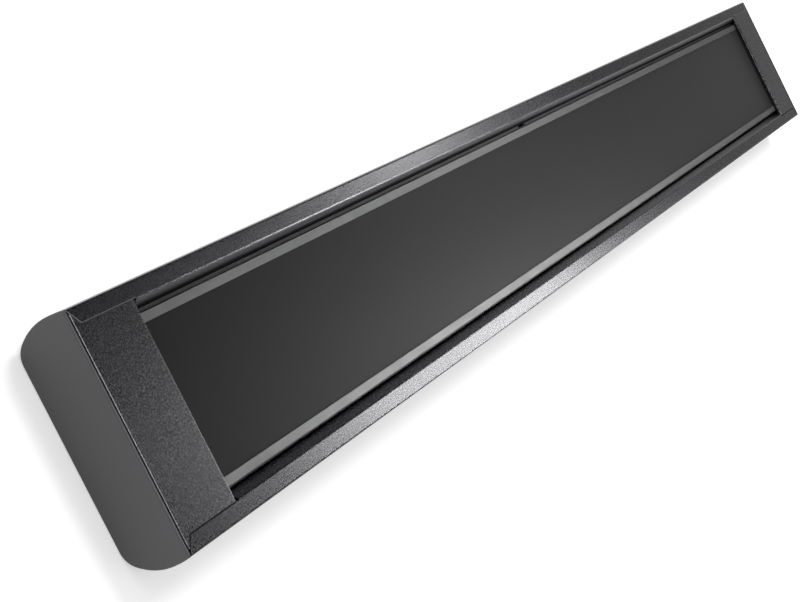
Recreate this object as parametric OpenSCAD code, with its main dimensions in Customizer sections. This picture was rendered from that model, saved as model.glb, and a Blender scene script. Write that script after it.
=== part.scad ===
// Flat-panel infrared patio heater: a long folded casing with a black radiant panel in its open front.
// X runs along the heater, Y across it and Z from the flat back (0) to the front edge of the casing.
// The origin is on the back plane, midway between the two fixing nuts.

/* [Casing] */
// Overall length over both end plates
overall_length = 1665; // [1350:5:2200]
// Width over the bulged sides
overall_width = 187; // [178:1:200]
// Depth from the flat back to the front flanges
overall_depth = 53; // [50:1:64]
// Thickness of the casing sheet
sheet_t = 1.2; // [0.8:0.1:1.6]
// Height of the widest line above the back
bulge_height = 36; // [30:1:42]
// Radius of the rounding between back and side
back_corner_r = 17; // [12:1:24]
// Radius of the side below its widest line
side_lower_r = 50; // [46:1:80]
// Radius of the side above its widest line
side_upper_r = 95; // [60:1:160]
// Radius of the folded front edge
front_corner_r = 2; // [1.8:0.1:4]

/* [Front opening] */
// Width between the starts of the two lip bends
front_opening = 159; // [152:0.5:162]
// Angle that the lips turn down into the opening
lip_angle = 50; // [40:1:60]
// Radius of the bend between flange and lip
lip_bend_r = 3; // [1.8:0.1:4]
// Straight length of a lip after its bend
lip_length = 8.4; // [6:0.1:10]

/* [End plates] */
// Thickness of an end plate
end_plate_t = 2; // [1.5:0.1:3]
// Chamfer around the outer face of an end plate
end_plate_chamfer = 0.6; // [0.2:0.1:1]
// Thickness of the seal behind an end plate
seal_t = 1; // [0.6:0.1:1.5]
// Width of the seal's rim
seal_rim = 5; // [3:0.5:8]
// How far the seal lies inside the outline of the end plate
seal_inset = 0.6; // [0.3:0.1:1]
// Length of the fixing tabs folded in from an end plate
tab_length = 16; // [14:1:22]
// Width of a fixing tab
tab_width = 18; // [14:1:22]
// Distance of the fixing tabs from the centre line
tab_y = 55; // [52:1:58]

/* [End covers] */
// Distance from the end of the heater to the inner edge of a cover
cover_reach = 73; // [68:1:90]
// Thickness of the cover sheet
cover_t = 1.2; // [0.8:0.1:1.5]
// Radius of the folds at both edges of a cover
cover_fold_r = 2.4; // [1.6:0.1:2.5]
// Depth of the fold beside the end plate
cover_fold_depth = 9; // [6:0.5:12]
// Length along the heater of the mitred flange ends
mitre_run = 8.5; // [5:0.5:12]
// Gap between the inner edge of a cover and the start of the lips
lip_slit = 2.5; // [1.5:0.5:4]
// How far the cover's tongues reach under the flanges
tongue_reach = 5; // [3:0.5:6]
// Play between a cover and the flange on each side of it
cover_play = 0.6; // [0.4:0.05:0.8]
// How far the covers sit towards the upper side, within their play
cover_shift = 0.35; // [0:0.05:0.4]

/* [Radiant panel] */
// Depth of the panel's face below the front flanges
panel_recess = 6.5; // [5:0.5:8]
// Thickness of the panel's plate
panel_t = 3.2; // [2.5:0.1:4]
// Distance of the panel's near end from the end of the heater
panel_end_near = 40; // [36:1:46]
// Distance of the panel's far end from the end of the heater
panel_end_far = 58; // [56:1:64]
// Gap between an edge rail and the edge of a lip
rail_gap = 3.6; // [3:0.1:6]
// Width of the visible leg of an edge rail
rail_face = 7.3; // [5:0.1:9]
// Width of the hidden leg of an edge rail
rail_foot = 5; // [3:0.1:7]
// Sheet thickness of the edge rails
rail_t = 1.2; // [0.8:0.1:1.5]

/* [Heating elements] */
// Diameter of the tubular elements
element_d = 8; // [6.5:0.1:8.5]
// Distance between neighbouring element legs
element_pitch = 32; // [30:0.5:33]
// Wall of the cradles that hold the elements
cradle_wall = 1.9; // [1.5:0.1:2.5]
// Width of the mouth of a cradle
cradle_mouth = 6.2; // [5:0.1:6.4]
// Length of panel left without cradles at the hairpin bends
cradle_cutback = 30; // [28:1:34]
// How far the element sheaths stand out of the bulkhead
sheath_end = 6; // [4:0.5:8]
// Length of the ceramic beads
bead_length = 6; // [4:0.5:8]
// Diameter of the terminal pins
pin_d = 4; // [3:0.1:4]
// Length of the narrow nose of a bead
bead_nose = 2; // [1:0.5:3]
// How far the terminal pins stand out of the beads
pin_length = 13; // [12:0.5:15]
// Thickness of the nuts on the terminal pins
pin_nut_t = 2.4; // [2:0.1:3]
// Thickness of the link strip and of the lead eyes
link_t = 0.8; // [0.5:0.1:1]

/* [Panel studs] */
// Head width of the studs that slide in the panel's grooves
stud_head = 9; // [8:0.1:10]
// Head thickness of a stud
stud_head_t = 3; // [2:0.1:3.4]
// Diameter of a stud
stud_d = 5; // [4:0.1:5]
// Outside diameter of the stand-off sleeves
sleeve_d = 9; // [8:0.1:10]
// Wall of the panel's stud grooves
groove_wall = 1.5; // [1.2:0.1:2]
// Number of studs in each groove
stud_count = 4; // [3:1:6]
// Distance of the outermost studs from the ends of the panel
stud_margin = 110; // [60:5:200]
// Length of thread that a stud shows below its nut
stud_tail = 1; // [0.5:0.1:1.5]

/* [Tray and insulation] */
// Height of the tray's floor above the back
tray_lift = 12; // [11.5:0.5:15]
// Thickness of the tray sheet
tray_t = 0.8; // [0.6:0.1:1]
// Width of the rim folded out along the upper side of the tray
tray_rim = 4.5; // [3.5:0.1:5.5]
// Expansion gap between the edge rails and the tray
expansion_gap = 0.8; // [0.5:0.1:1]
// Distance of the tray's near end from the end of the heater
tray_end_near = 31; // [28:1:34]
// Distance of the notch in the tray's rim from the middle, towards the near end
rim_notch_x = 38; // [0:1:60]
// Length of the notch in the tray's rim
rim_notch_length = 16; // [6:1:30]
// Number of spacers between tray and mounting channel
spacer_count = 5; // [3:1:9]
// Length of a spacer
spacer_length = 40; // [20:5:60]

/* [Rear mounting channel] */
// Width of the slot in the casing's back
slot_width = 10.5; // [9:0.1:12]
// Distance of the slot's ends from the ends of the heater
slot_margin = 130; // [110:5:135]
// Inside width of the channel over the slot
channel_width = 19; // [18.5:0.1:22]
// Inside height of the channel
channel_height = 7; // [6.4:0.1:7.4]
// Sheet thickness of the channel
channel_t = 1.5; // [1:0.1:1.8]
// Width of the channel's welded flanges
channel_flange = 10; // [8:0.5:12]
// Length of the channel beyond each end of the slot
channel_beyond = 20; // [10:1:30]
// Distance between the two fixing nuts
fixing_spacing = 1000; // [500:10:1040]
// Length of a fixing nut
nut_length = 24; // [18:1:30]
// Thickness of a fixing nut inside the channel
nut_t = 4.8; // [4:0.1:5.2]
// Length of a fixing nut's neck in the slot
nut_neck = 16; // [10:1:18]
// Depth of the neck's face inside the back plane
neck_recess = 0.2; // [0.1:0.1:0.5]
// Tapping diameter of the fixing nuts
nut_bore_d = 6.8; // [5:0.1:7]

/* [Wiring] */
// Distance of the terminal block's centre from the bulkhead
block_gap = 22; // [20:1:26]
// Length of the terminal block across the heater
block_length = 34; // [32:1:40]
// Width of the terminal block
block_width = 18; // [16:1:20]
// Height of the terminal block
block_height = 16; // [14:0.5:18]
// Distance of the terminal block's centre from the centre line
block_y = 24; // [22:1:26]
// Diameter of the thermal cut-out
cutout_d = 16; // [14:0.5:18]
// Height of the thermal cut-out
cutout_height = 8; // [6:0.5:9]
// Height of the cut-out's centre above the back
cutout_z = 24.5; // [23:0.5:25]
// How far the cut-out's mounting flange reaches past its body
cutout_flange = 4; // [3:0.5:6]
// Length of the cut-out's spade terminals
spade_length = 8; // [6:0.5:9]
// Width of a spade terminal
spade_width = 6; // [4:0.1:6.3]
// Thickness of a spade terminal
spade_t = 0.8; // [0.6:0.1:1]
// Distance between the two spade terminals
spade_pitch = 8; // [6:0.5:9]
// Diameter of the internal leads
lead_d = 3; // [2.5:0.1:3.2]
// Length of the tail of a lead eye
eye_tail = 9; // [7:0.5:10]
// Diameter of the earth stud
earth_d = 4; // [3:0.1:5]
// Height of the earth stud
earth_height = 14; // [12:0.5:16]
// Thickness of the nuts on the earth stud
earth_nut_t = 3; // [2:0.1:3.2]
// Distance of the earth stud from the centre line
earth_y = 30; // [26:0.5:32]

/* [Cable gland] */
// Thread diameter of the gland
gland_d = 20; // [18:0.5:22]
// Width across the flats of the gland
gland_flats = 24; // [23:0.5:27]
// Thickness of the gland's outer hexagon
gland_hex_t = 4.5; // [3:0.5:6]
// Length of the gland's thread inside the casing
gland_thread = 8; // [7.5:0.5:9]
// Length of the gland's clamping nut
gland_nut_length = 15; // [13:0.5:18]
// Length of the gland's rubber seal
gland_seal_length = 10; // [8:0.5:12]
// Diameter of the hole in the gland's rubber seal
gland_seal_bore = 9; // [7:0.5:10]
// Wall of the gland's collar around the seal
collar_wall = 1.8; // [1.2:0.1:2.2]
// Thickness of the locknut
locknut_t = 4.5; // [3.5:0.1:5]

/* [Fasteners] */
// Diameter of the end plate screws
screw_d = 4; // [3.5:0.1:4.5]
// Length of the end plate screws
screw_length = 8; // [7:0.5:12]
// Width across flats of the panel stud nuts
stud_nut_flats = 8; // [7.5:0.1:8.5]
// Thickness of the panel stud nuts
stud_nut_t = 3.6; // [3:0.1:4]

/* [Clearances] */
// Clearance between pieces that slide or slip together
slip = 0.3; // [0.2:0.05:0.35]
// Radial clearance around screws and studs
screw_play = 0.15; // [0.1:0.05:0.2]
// Gap between the end of a lead and the terminal that holds it
lead_end_gap = 0.4; // [0.3:0.05:0.6]

/* [Hidden] */

// Smoothness of round parts and steps along the profile's arcs
$fn = 48;
arc_steps = 12;
// Small amount by which cutters pass the faces that they cut
over = 1;

// Profile of the casing: centres of its arcs, from the front edge to the back
half_width = overall_width / 2;
lower_centre = [half_width - side_lower_r, bulge_height];
upper_centre = [half_width - side_upper_r, bulge_height];
back_reach = side_lower_r - back_corner_r;
back_rise = bulge_height - back_corner_r;
back_centre = [lower_centre[0] + sqrt(back_reach * back_reach - back_rise * back_rise), back_corner_r];
back_angle = atan2(-back_rise, back_centre[0] - lower_centre[0]);
front_rise = overall_depth - front_corner_r - bulge_height;
front_reach = side_upper_r - front_corner_r;
corner_centre = [
    upper_centre[0] + sqrt(front_reach * front_reach - front_rise * front_rise),
    overall_depth - front_corner_r
];
corner_angle = atan2(front_rise, corner_centre[0] - upper_centre[0]);

// Lips of the front opening
bend_y = front_opening / 2;
bend_centre = [bend_y, overall_depth - lip_bend_r];
lip_dir = [-cos(lip_angle), -sin(lip_angle)];
lip_end = bend_centre + lip_bend_r * [-sin(lip_angle), cos(lip_angle)] + lip_length * lip_dir;
lip_root = bend_centre + (lip_bend_r - sheet_t) * [-sin(lip_angle), cos(lip_angle)] + lip_length * lip_dir;

// Places along the heater
end_x = overall_length / 2;
casing_end = end_x - end_plate_t - seal_t;
panel_near = -end_x + panel_end_near;
panel_far = end_x - panel_end_far;
tray_near = -end_x + tray_end_near;
bulkhead_x = panel_far + slip;
sheath_far = bulkhead_x + tray_t + sheath_end;
bead_far = sheath_far + bead_length;
pin_far = bead_far + pin_length;

// Levels above the back
panel_face = overall_depth - panel_recess;
panel_back = panel_face - panel_t;
rail_top = panel_face + rail_t;
cradle_r = element_d / 2 + slip;
cradle_outer_r = cradle_r + cradle_wall;
element_z = panel_back - cradle_r;
cradle_low = element_z - cradle_outer_r;
tray_floor = tray_lift + tray_t;
rim_top = min(lip_root[1], panel_face) - slip;
board_top = cradle_low - slip;
groove_depth = stud_head_t + slip + groove_wall;
groove_low = panel_back - groove_depth;
channel_top = sheet_t + channel_height + channel_t;

// Places across the heater
rail_outer = lip_end[0] - rail_gap;
panel_half = rail_outer - rail_t - slip;
tray_half = rail_outer + expansion_gap;
leg_inner = element_pitch / 2;
leg_outer = element_pitch * 3 / 2;
stud_y = element_pitch;
groove_half = stud_head / 2 + slip + groove_wall;
cover_half = bend_y - cover_play;
cover_off = min(cover_shift, cover_play - 0.2);

// Stud places along the panel
stud_span = panel_far - panel_near - 2 * stud_margin;
stud_mid = (panel_far + panel_near) / 2;
stud_places = [for (i = [0 : stud_count - 1]) stud_mid - stud_span / 2 + i * stud_span / (stud_count - 1)];

stud_low = tray_lift - stud_nut_t - stud_tail;
groove_floor = groove_low + groove_wall;

// Slot over the fixing nuts
slot_half = end_x - slot_margin;
channel_half = slot_half + channel_beyond;

// Ears of the end covers, beside the mitred ends of the flanges
mitre_rise = corner_centre[0] - bend_y;
mitre_length = norm([mitre_run, mitre_rise]);

// Wiring space: link, terminal block, cut-out and earth stud
link_x = bead_far + slip + pin_nut_t;
block_x = bulkhead_x + block_gap;
block_ways = 3;
way_pitch = block_length / block_ways;
way_z = sheet_t + block_height * 0.4;
way_r = lead_d / 2 + slip;
cutout_x = bulkhead_x + tray_t;
cutout_plate_t = 1;
earth_x = block_x;

// Cable gland
gland_z = overall_depth / 2;
gland_dome_r = gland_flats / 2;
gland_out = end_x + gland_hex_t;
gland_bore_r = gland_seal_bore / 2 + 1;
collar_r = gland_d / 2 - 0.8;
collar_bore_r = collar_r - collar_wall;

// Screws and nuts: head and hexagon as shares of the thread's diameter
screw_head_r = 0.95 * screw_d;
screw_cone = 0.45 * screw_d;
function nut_flats(thread_d) = 1.75 * thread_d;
function eye_r(hole_d) = 0.9 * hole_d;

// Sides of the swept tubes that stand for leads, and steps between two points of a route
tube_sides = 8;
route_steps = 4;

// Points on an arc about a centre, without its first point
function arc(centre, r, from, to, steps = arc_steps) = [
    for (i = [1 : steps])
        let (angle = from + (to - from) * i / steps)
        centre + r * [cos(angle), sin(angle)]
];

// Right half of the closed outline, from the front corner to the back, moved inwards by an inset.
// An inset larger than the corner's radius leaves a sharp corner.
function sharp_angle(inset) = asin((overall_depth - inset - bulge_height) / (side_upper_r - inset));
function front_corner(inset) = inset < front_corner_r
    ? concat(
        [[corner_centre[0], overall_depth - inset]],
        arc(corner_centre, front_corner_r - inset, 90, corner_angle),
        arc(upper_centre, side_upper_r - inset, corner_angle, 0))
    : concat(
        arc(upper_centre, side_upper_r - inset, sharp_angle(inset), sharp_angle(inset), 1),
        arc(upper_centre, side_upper_r - inset, sharp_angle(inset), 0));
function side_path(inset) = concat(
    front_corner(inset),
    arc(lower_centre, side_lower_r - inset, 0, back_angle),
    arc(back_centre, back_corner_r - inset, back_angle, -90)
);

// Lip and its bend, from the free edge to the flange
function lip_path(inset) = concat(
    [inset == 0 ? lip_end : lip_root],
    [bend_centre + (lip_bend_r - inset) * [-sin(lip_angle), cos(lip_angle)]],
    arc(bend_centre, lip_bend_r - inset, 90 + lip_angle, 90)
);

function flip(points) = [for (p = points) [-p[0], p[1]]];
function backwards(points) = [for (i = [len(points) - 1 : -1 : 0]) points[i]];

// Extrudes a profile drawn as (Y, Z) along X
module along_x(from, to) {
    translate([from, 0, 0]) rotate([90, 0, 90]) linear_extrude(to - from) children();
}

// Extrudes a profile drawn as (X, Z) along Y
module along_y(from, to) {
    translate([0, to, 0]) rotate([90, 0, 0]) linear_extrude(to - from) children();
}

// Round bar or hole along X, centred at (y, z)
module rod_x(from, to, r, y = 0, z = 0) {
    translate([from, y, z]) rotate([0, 90, 0]) cylinder(h = to - from, r = r);
}

// Hexagonal bar along an axis given by its flats
module hexagon(flats, h) {
    cylinder(h = h, r = flats / sqrt(3), $fn = 6);
}

module mirrored(side) {
    if (side < 0) mirror([1, 0, 0]) children();
    else children();
}

// Cutter for the ends of flange and lip: the flange is mitred, and the lip stops short of the cover
module flange_notch() {
    notch_x = end_x - cover_reach - lip_slit;
    translate([0, 0, lip_root[1] - over])
        linear_extrude(overall_depth - lip_root[1] + 2 * over)
            polygon([
                [casing_end + over, -corner_centre[0]],
                [casing_end, -corner_centre[0]],
                [casing_end - mitre_run, -bend_y],
                [notch_x, -bend_y],
                [notch_x, bend_y],
                [casing_end - mitre_run, bend_y],
                [casing_end, corner_centre[0]],
                [casing_end + over, corner_centre[0]]
            ]);
}

module tab_places() {
    for (side = [-1, 1], y = [-tab_y, tab_y])
        translate([side * (casing_end - tab_length / 2), y, 0]) children();
}

// Countersunk screw shape, standing on the back plane
module screw_shape(extra) {
    cylinder(h = screw_cone, r1 = screw_head_r + extra, r2 = screw_d / 2 + extra);
    cylinder(h = screw_length, r = screw_d / 2 + extra);
}

module casing() {
    outer = concat(lip_path(0), side_path(0));
    inner = concat(lip_path(sheet_t), side_path(sheet_t));
    color([0.17, 0.17, 0.18]) difference() {
        along_x(-casing_end, casing_end)
            polygon(concat(outer, backwards(flip(outer)), flip(inner), backwards(inner)));
        flange_notch();
        mirror([1, 0, 0]) flange_notch();
        translate([-slot_half + slot_width / 2, -slot_width / 2, -over])
            cube([2 * slot_half - slot_width, slot_width, sheet_t + 2 * over]);
        for (side = [-1, 1])
            translate([side * (slot_half - slot_width / 2), 0, -over])
                cylinder(h = sheet_t + 2 * over, r = slot_width / 2);
        tab_places() screw_shape(screw_play);
    }
}

// Top-hat channel welded inside the back, over the slot
module mounting_channel() {
    half = channel_width / 2;
    color([0.62, 0.64, 0.66]) along_x(-channel_half, channel_half) polygon([
        [half + channel_t + channel_flange, sheet_t], [half, sheet_t],
        [half, channel_top - channel_t], [-half, channel_top - channel_t],
        [-half, sheet_t], [-half - channel_t - channel_flange, sheet_t],
        [-half - channel_t - channel_flange, sheet_t + channel_t], [-half - channel_t, sheet_t + channel_t],
        [-half - channel_t, channel_top], [half + channel_t, channel_top],
        [half + channel_t, sheet_t + channel_t], [half + channel_t + channel_flange, sheet_t + channel_t]
    ]);
}

module outline(inset) {
    points = side_path(inset);
    polygon(concat(points, backwards(flip(points))));
}

// End plate with two tabs that lie on the casing's floor
module end_plate(side, has_gland) {
    color([0.33, 0.33, 0.34]) mirrored(side) difference() {
        union() {
            hull() {
                along_x(end_x - end_plate_t, end_x - end_plate_chamfer) outline(0);
                along_x(end_x - 0.01, end_x) outline(end_plate_chamfer);
            }
            for (y = [-tab_y, tab_y])
                translate([casing_end - tab_length, y - tab_width / 2, sheet_t])
                    cube([tab_length + seal_t + over, tab_width, end_plate_t]);
        }
        for (y = [-tab_y, tab_y])
            translate([casing_end - tab_length / 2, y, 0]) screw_shape(screw_play);
        if (has_gland)
            rod_x(end_x - end_plate_t - over, end_x + over, gland_d / 2 + slip, 0, gland_z);
    }
}

// Rubber rim between the end plate and the end of the casing
module end_seal(side) {
    color([0.05, 0.05, 0.05]) mirrored(side) difference() {
        along_x(casing_end, casing_end + seal_t) outline(seal_inset);
        along_x(casing_end - over, casing_end + seal_t + over) outline(seal_inset + seal_rim);
        for (y = [-tab_y, tab_y])
            translate([casing_end - over, y - tab_width / 2 - slip, -over])
                cube([seal_t + 2 * over, tab_width + 2 * slip, sheet_t + end_plate_t + slip + over]);
    }
}

// Edge of a cover's ear, which runs beside the mitred end of the flange with the cover's play
function ear_y(x) =
    corner_centre[0] - (casing_end - x) * mitre_rise / mitre_run - cover_play * mitre_length / mitre_run;
function ear_x(y) =
    casing_end - (corner_centre[0] - y) * mitre_run / mitre_rise + cover_play * mitre_length / mitre_rise;

// Folded cover over one end of the opening, with ears at its outer end and tongues under the flanges
module end_cover(side) {
    inner_x = end_x - cover_reach;
    outer_x = casing_end - slip;
    fold_low = rail_top + 2 * slip;
    fold_z = overall_depth - cover_fold_r;
    tongue_top = overall_depth - sheet_t - slip;
    tongue_root = cover_half - 4;
    tongue_tip = bend_y + tongue_reach;
    color([0.2, 0.2, 0.21]) translate([0, cover_off, 0]) mirrored(side) union() {
        intersection() {
            along_y(-corner_centre[0], corner_centre[0]) polygon(concat(
                [[outer_x, overall_depth - cover_fold_depth], [outer_x, fold_z]],
                arc([outer_x - cover_fold_r, fold_z], cover_fold_r, 0, 90),
                [[inner_x + cover_fold_r, overall_depth]],
                arc([inner_x + cover_fold_r, fold_z], cover_fold_r, 90, 180),
                [[inner_x, fold_low], [inner_x + cover_t, fold_low], [inner_x + cover_t, fold_z]],
                arc([inner_x + cover_fold_r, fold_z], cover_fold_r - cover_t, 180, 90, 4),
                [[outer_x - cover_fold_r, overall_depth - cover_t]],
                arc([outer_x - cover_fold_r, fold_z], cover_fold_r - cover_t, 90, 0, 4),
                [[outer_x - cover_t, overall_depth - cover_fold_depth]]
            ));
            linear_extrude(overall_depth + over) polygon([
                [inner_x - over, -cover_half], [ear_x(cover_half), -cover_half],
                [outer_x, -ear_y(outer_x)], [outer_x + over, -ear_y(outer_x)],
                [outer_x + over, ear_y(outer_x)], [outer_x, ear_y(outer_x)],
                [ear_x(cover_half), cover_half], [inner_x - over, cover_half]
            ]);
        }
        for (turn = [-1, 1])
            along_x(inner_x + 2 * cover_t, casing_end - mitre_run - over) polygon([
                [turn * tongue_root, overall_depth - cover_t], [turn * cover_half, overall_depth - cover_t],
                [turn * cover_half, tongue_top], [turn * tongue_tip, tongue_top],
                [turn * tongue_tip, tongue_top - cover_t], [turn * tongue_root, tongue_top - cover_t]
            ]);
    }
}

// Cross-section of the extruded panel: plate, element cradles and stud grooves
module panel_section(with_back) {
    translate([-panel_half, panel_back]) square([2 * panel_half, panel_t]);
    if (with_back) {
        for (y = [-leg_outer, -leg_inner, leg_inner, leg_outer])
            difference() {
                union() {
                    translate([y, element_z]) circle(r = cradle_outer_r);
                    translate([y - cradle_outer_r, element_z])
                        square([2 * cradle_outer_r, panel_back - element_z + panel_t / 2]);
                }
                translate([y, element_z]) circle(r = cradle_r);
                translate([y - cradle_mouth / 2, cradle_low - over])
                    square([cradle_mouth, cradle_outer_r + over]);
            }
        for (y = [-stud_y, stud_y])
            difference() {
                translate([y - groove_half, groove_low])
                    square([2 * groove_half, groove_depth + panel_t / 2]);
                translate([y - groove_half + groove_wall, groove_low + groove_wall])
                    square([2 * (groove_half - groove_wall), groove_depth - groove_wall]);
                translate([y - stud_d / 2 - slip, groove_low - over])
                    square([stud_d + 2 * slip, groove_wall + 2 * over]);
            }
    }
}

module radiant_panel() {
    color([0.09, 0.09, 0.095]) union() {
        along_x(panel_near + cradle_cutback, panel_far) panel_section(true);
        along_x(panel_near, panel_near + cradle_cutback) panel_section(false);
    }
}

// Edge rail that grips one long edge of the panel
module edge_rail(turn) {
    foot_low = panel_back - rail_t;
    color([0.42, 0.42, 0.43]) along_x(panel_near, panel_far) polygon([
        [turn * rail_outer, foot_low], [turn * rail_outer, rail_top],
        [turn * (rail_outer - rail_face), rail_top], [turn * (rail_outer - rail_face), panel_face],
        [turn * (rail_outer - rail_t), panel_face], [turn * (rail_outer - rail_t), panel_back],
        [turn * (rail_outer - rail_foot), panel_back], [turn * (rail_outer - rail_foot), foot_low]
    ]);
}

// Open tray under the panel, with a rim along its upper side that lies under the casing's lip
module inner_tray() {
    wall = tray_half + tray_t;
    rim = tray_half + tray_rim;
    color([0.3, 0.3, 0.31]) difference() {
        union() {
            along_x(tray_near, bulkhead_x) polygon([
                [wall, tray_lift], [wall, rim_top - tray_t], [rim, rim_top - tray_t], [rim, rim_top],
                [tray_half, rim_top], [tray_half, tray_floor], [-tray_half, tray_floor],
                [-tray_half, rim_top], [-wall, rim_top], [-wall, tray_lift]
            ]);
            translate([tray_near, -tray_half - tray_t / 2, tray_lift])
                cube([tray_t, 2 * tray_half + tray_t, panel_back - tray_lift]);
        }
        stud_sites() translate([0, 0, tray_lift - over])
            cylinder(h = tray_t + 2 * over, r = stud_d / 2 + screw_play);
        translate([-rim_notch_x, tray_half + rim / 2 + tray_t, rim_top])
            cube([rim_notch_length, rim, 4 * tray_t], center = true);
    }
}

module tray_spacers() {
    span = 2 * channel_half - spacer_length;
    color([0.85, 0.84, 0.8])
        for (i = [0 : spacer_count - 1]) {
            x = -span / 2 + i * span / (spacer_count - 1);
            translate([x - spacer_length / 2, -channel_width / 2, channel_top])
                cube([spacer_length, channel_width, tray_lift - channel_top]);
        }
}

module insulation_board() {
    board_near = tray_near + tray_t + slip;
    board_half = tray_half - slip;
    color([0.9, 0.89, 0.86]) difference() {
        translate([board_near, -board_half, tray_floor])
            cube([bulkhead_x - slip - board_near, 2 * board_half, board_top - tray_floor]);
        stud_sites() translate([0, 0, tray_floor - over])
            cylinder(h = board_top - tray_floor + 2 * over, r = sleeve_d / 2 + slip);
    }
}

// Hairpin element: two legs in neighbouring cradles, joined by a bend at the near end
module hairpin(turn) {
    bend_x = panel_near + cradle_cutback - slip;
    color([0.55, 0.53, 0.5]) union() {
        for (y = [leg_inner, leg_outer]) rod_x(bend_x, sheath_far, element_d / 2, turn * y, element_z);
        translate([bend_x, turn * stud_y, element_z]) rotate([0, 0, 90])
            rotate_extrude(angle = 180) translate([element_pitch / 2, 0]) circle(r = element_d / 2, $fn = 32);
    }
}

module pin_places() {
    for (y = [-leg_outer, -leg_inner, leg_inner, leg_outer]) translate([0, y, element_z]) children();
}

module element_pins() {
    color([0.7, 0.69, 0.66]) pin_places() rod_x(sheath_far, pin_far, pin_d / 2);
}

module ceramic_beads() {
    color([0.93, 0.92, 0.88]) pin_places() difference() {
        union() {
            rod_x(sheath_far, bead_far - bead_nose, element_d / 2);
            rod_x(bead_far - bead_nose, bead_far, (element_d + pin_d) / 4);
        }
        rod_x(sheath_far - over, bead_far + over, pin_d / 2 + screw_play);
    }
}

// Two nuts on every terminal pin; the link or a lead's eye is held between them
module pin_nuts() {
    color([0.75, 0.74, 0.7]) pin_places()
        for (x = [link_x - pin_nut_t, link_x + link_t]) difference() {
            translate([x, 0, 0]) rotate([0, 90, 0]) hexagon(nut_flats(pin_d), pin_nut_t);
            rod_x(x - over, x + pin_nut_t + over, pin_d / 2 + screw_play);
        }
}

// Strip that joins the two inner pins
module live_link() {
    strip_half = eye_r(pin_d);
    color([0.78, 0.77, 0.74]) difference() {
        union() {
            translate([link_x, -leg_inner, element_z - strip_half])
                cube([link_t, 2 * leg_inner, 2 * strip_half]);
            for (y = [-leg_inner, leg_inner]) rod_x(link_x, link_x + link_t, strip_half, y, element_z);
        }
        for (y = [-leg_inner, leg_inner])
            rod_x(link_x - over, link_x + link_t + over, pin_d / 2 + screw_play, y, element_z);
    }
}

module stud_sites() {
    for (x = stud_places, y = [-stud_y, stud_y]) translate([x, y, 0]) children();
}

module panel_studs() {
    color([0.66, 0.66, 0.66]) stud_sites() union() {
        translate([-stud_head / 2, -stud_head / 2, groove_floor]) cube([stud_head, stud_head, stud_head_t]);
        translate([0, 0, stud_low]) cylinder(h = groove_floor - stud_low + stud_head_t / 2, r = stud_d / 2);
    }
}

module standoff_sleeves() {
    sleeve_length = groove_low - tray_floor;
    color([0.6, 0.6, 0.6]) stud_sites() translate([0, 0, tray_floor]) difference() {
        cylinder(h = sleeve_length, r = sleeve_d / 2);
        translate([0, 0, -over]) cylinder(h = sleeve_length + 2 * over, r = stud_d / 2 + screw_play);
    }
}

module panel_stud_nuts() {
    color([0.66, 0.66, 0.66]) stud_sites() translate([0, 0, tray_lift - stud_nut_t]) difference() {
        hexagon(stud_nut_flats, stud_nut_t);
        translate([0, 0, -over]) cylinder(h = stud_nut_t + 2 * over, r = stud_d / 2 + screw_play);
    }
}

// Partition between the hot tray and the wiring space
module bulkhead() {
    color([0.6, 0.61, 0.62]) difference() {
        translate([bulkhead_x, -tray_half - tray_t, tray_lift])
            cube([tray_t, 2 * (tray_half + tray_t), panel_back - rail_t - slip - tray_lift]);
        pin_places() rod_x(bulkhead_x - over, bulkhead_x + tray_t + over, element_d / 2 + slip);
    }
}

function way_y(i) = -block_y + (i - (block_ways - 1) / 2) * way_pitch;
module terminal_places() {
    for (i = [0 : block_ways - 1], turn = [-1, 1])
        translate([block_x + turn * block_width / 4, way_y(i), way_z]) children();
}

// Three-way ceramic terminal block, open at both sides for the leads
module terminal_block() {
    color([0.94, 0.93, 0.9]) difference() {
        translate([block_x - block_width / 2, -block_y - block_length / 2, sheet_t])
            cube([block_width, block_length, block_height]);
        for (i = [0 : block_ways - 1])
            rod_x(block_x - block_width / 2 - over, block_x + block_width / 2 + over, way_r, way_y(i), way_z);
        terminal_places() cylinder(h = block_height, r = way_r);
    }
}

module terminal_screws() {
    screw_h = block_height * 0.4;
    driver_slot = 0.6;
    color([0.72, 0.58, 0.3]) terminal_places() translate([0, 0, way_r]) difference() {
        cylinder(h = screw_h, r = way_r - slip);
        translate([-way_r, -driver_slot / 2, screw_h - driver_slot]) cube([2 * way_r, driver_slot, over]);
    }
}

// Disc thermostat on the bulkhead, with two spade terminals
module thermal_cutout() {
    flange_half = cutout_d / 2 + cutout_flange;
    spade_near = cutout_x + cutout_height - over;
    color([0.15, 0.14, 0.13]) union() {
        rod_x(cutout_x, cutout_x + cutout_height, cutout_d / 2, 0, cutout_z);
        translate([cutout_x, -flange_half, cutout_z - cutout_d / 4])
            cube([cutout_plate_t, 2 * flange_half, cutout_d / 2]);
        for (turn = [-1, 1])
            translate([spade_near, (turn * spade_pitch - spade_t) / 2, cutout_z - spade_width / 2])
                cube([spade_length + over, spade_t, spade_width]);
    }
}

// Earth stud on the casing's floor; the lead's eye is held between its two nuts
module earth_stud() {
    color([0.72, 0.58, 0.3]) translate([earth_x, earth_y, sheet_t]) union() {
        cylinder(h = earth_height, r = earth_d / 2);
        hexagon(nut_flats(earth_d), earth_nut_t);
        translate([0, 0, earth_nut_t + link_t]) hexagon(nut_flats(earth_d), earth_nut_t);
    }
}

// Crimped eye, lying on the XY plane about the origin, with its tail towards -Y
module lead_eye(hole_d) {
    difference() {
        union() {
            cylinder(h = link_t, r = eye_r(hole_d));
            translate([-lead_d / 2, -eye_tail, 0]) cube([lead_d, eye_tail, link_t]);
        }
        translate([0, 0, -over]) cylinder(h = link_t + 2 * over, r = hole_d / 2 + screw_play);
    }
}

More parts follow.
